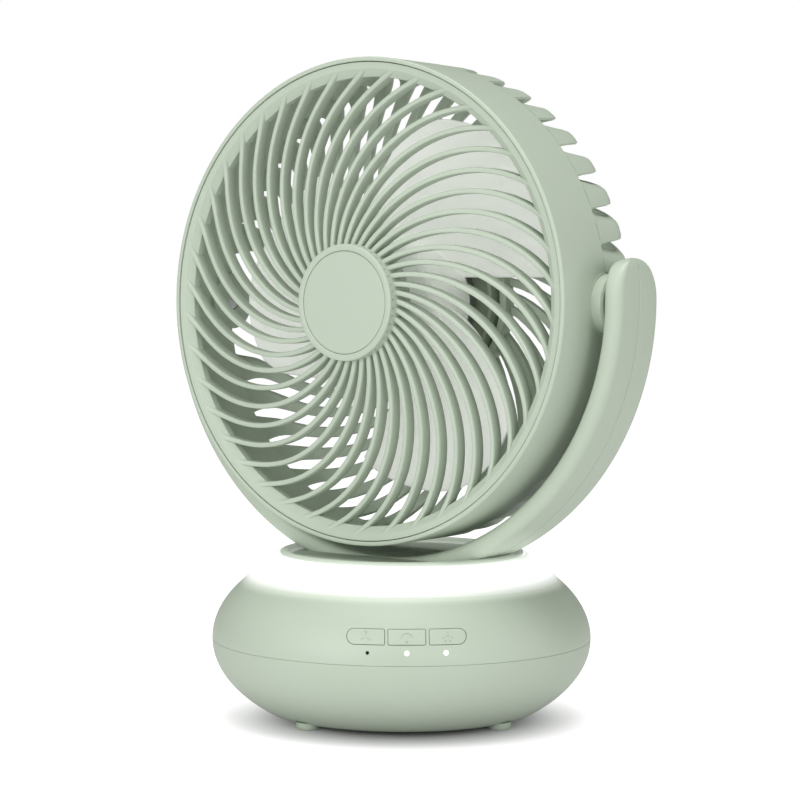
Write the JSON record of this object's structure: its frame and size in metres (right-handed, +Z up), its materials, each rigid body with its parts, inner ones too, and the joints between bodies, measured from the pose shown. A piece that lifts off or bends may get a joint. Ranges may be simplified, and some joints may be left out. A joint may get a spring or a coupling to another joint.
{
  "type": "desk fan",
  "caption": "Sage-green rechargeable desk fan with spiral grilles, a tilting head in a U-shaped yoke, an oscillating turntable and a lit ring on its squashed round base.",
  "frame": {"origin": "centre of the base on the plane the feet stand on", "axes": "+Z up, -Y out of the base's front where the buttons are, +X to the right as seen from the front"},
  "size_m": [0.2076, 0.1753, 0.2876],
  "materials": {
    "sage_plastic": "fine satin texture, soft sage green",
    "deep_sage_plastic": "satin, darker sage green",
    "grey_plastic": "semi-gloss light grey",
    "frosted_plastic": "frosted translucent white",
    "dark_plastic": "satin near-black",
    "rubber": "matt black",
    "circuit_board": "green solder mask",
    "white_plastic": "plain white moulding",
    "cell_wrap": "shrink-wrapped blue",
    "steel": "plain bright steel",
    "copper_winding": "enamelled copper wire"
  },
  "bodies": {
    "base": {"base_lower_shell": "sage_plastic", "base_upper_shell": "sage_plastic", "base_screw_1": "steel", "base_screw_2": "steel", "base_screw_3": "steel", "base_screw_4": "steel", "foot_front_left": "rubber", "foot_front_right": "rubber", "foot_rear_left": "rubber", "foot_rear_right": "rubber", "top_bezel": "sage_plastic", "light_diffuser": "frosted_plastic", "light_board": "white_plastic", "indicator_1": "dark_plastic", "indicator_2": "frosted_plastic", "indicator_3": "frosted_plastic", "control_board": "circuit_board", "charge_socket": "dark_plastic", "ballast_plate": "steel", "battery_tray": "dark_plastic", "battery_left": "cell_wrap", "battery_right": "cell_wrap", "oscillation_motor": "steel"},
    "speed_button": {"button_speed": "sage_plastic"},
    "oscillation_button": {"button_oscillation": "sage_plastic"},
    "light_button": {"button_light": "sage_plastic"},
    "pinion": {"drive_pinion": "white_plastic"},
    "yoke": {"turntable": "sage_plastic", "thrust_washer": "white_plastic", "turntable_gear": "white_plastic", "yoke_front_half": "sage_plastic", "yoke_rear_half": "sage_plastic", "motor_lead": "dark_plastic", "pivot_pin_left": "steel", "pivot_pin_right": "steel", "friction_washer_left": "dark_plastic", "friction_washer_right": "dark_plastic"},
    "head": {"fan_housing": "sage_plastic", "front_grille": "sage_plastic", "front_hub_cap": "sage_plastic", "rear_grille": "sage_plastic", "rear_screw_1": "steel", "rear_screw_2": "steel", "rear_screw_3": "steel", "pivot_boss_left": "sage_plastic", "pivot_boss_right": "sage_plastic", "motor_cup": "deep_sage_plastic", "motor_stator": "copper_winding", "bearing_rear": "steel", "bearing_front": "steel"},
    "rotor": {"impeller": "grey_plastic", "impeller_nut": "dark_plastic", "rotor_bell": "steel", "motor_shaft": "steel"}
  },
  "joints": [
    {"name": "oscillation", "type": "hinge", "parent": "base", "child": "yoke", "pos_m": [0, 0, 0.06], "axis": [0, 0, 1], "range_deg": [-7, 83]},
    {"name": "pinion_turn", "type": "hinge", "parent": "base", "child": "pinion", "pos_m": [0, 0.024, 0.05], "axis": [0, 0, 1], "range_deg": [-255, 27]},
    {"name": "head_tilt", "type": "hinge", "parent": "yoke", "child": "head", "pos_m": [0, 0, 0.1823], "axis": [0.7869, -0.617, 0], "range_deg": [-60, 20]},
    {"name": "fan_spin", "type": "hinge", "parent": "head", "child": "rotor", "pos_m": [0, 0, 0.1823], "axis": [-0.617, -0.7869, 0], "continuous": true},
    {"name": "speed_press", "type": "slide", "parent": "base", "child": "speed_button", "axis": [0, 1, 0], "range_m": [0, 0.001], "stiffness_N_per_m": 900, "springref_m": -0.0012},
    {"name": "oscillation_press", "type": "slide", "parent": "base", "child": "oscillation_button", "axis": [0, 1, 0], "range_m": [0, 0.001], "stiffness_N_per_m": 900, "springref_m": -0.0012},
    {"name": "light_press", "type": "slide", "parent": "base", "child": "light_button", "axis": [0, 1, 0], "range_m": [0, 0.001], "stiffness_N_per_m": 900, "springref_m": -0.0012}
  ],
  "couplings": [
    {"joint": "pinion_turn", "follows": "oscillation", "ratio": -3}
  ]
}
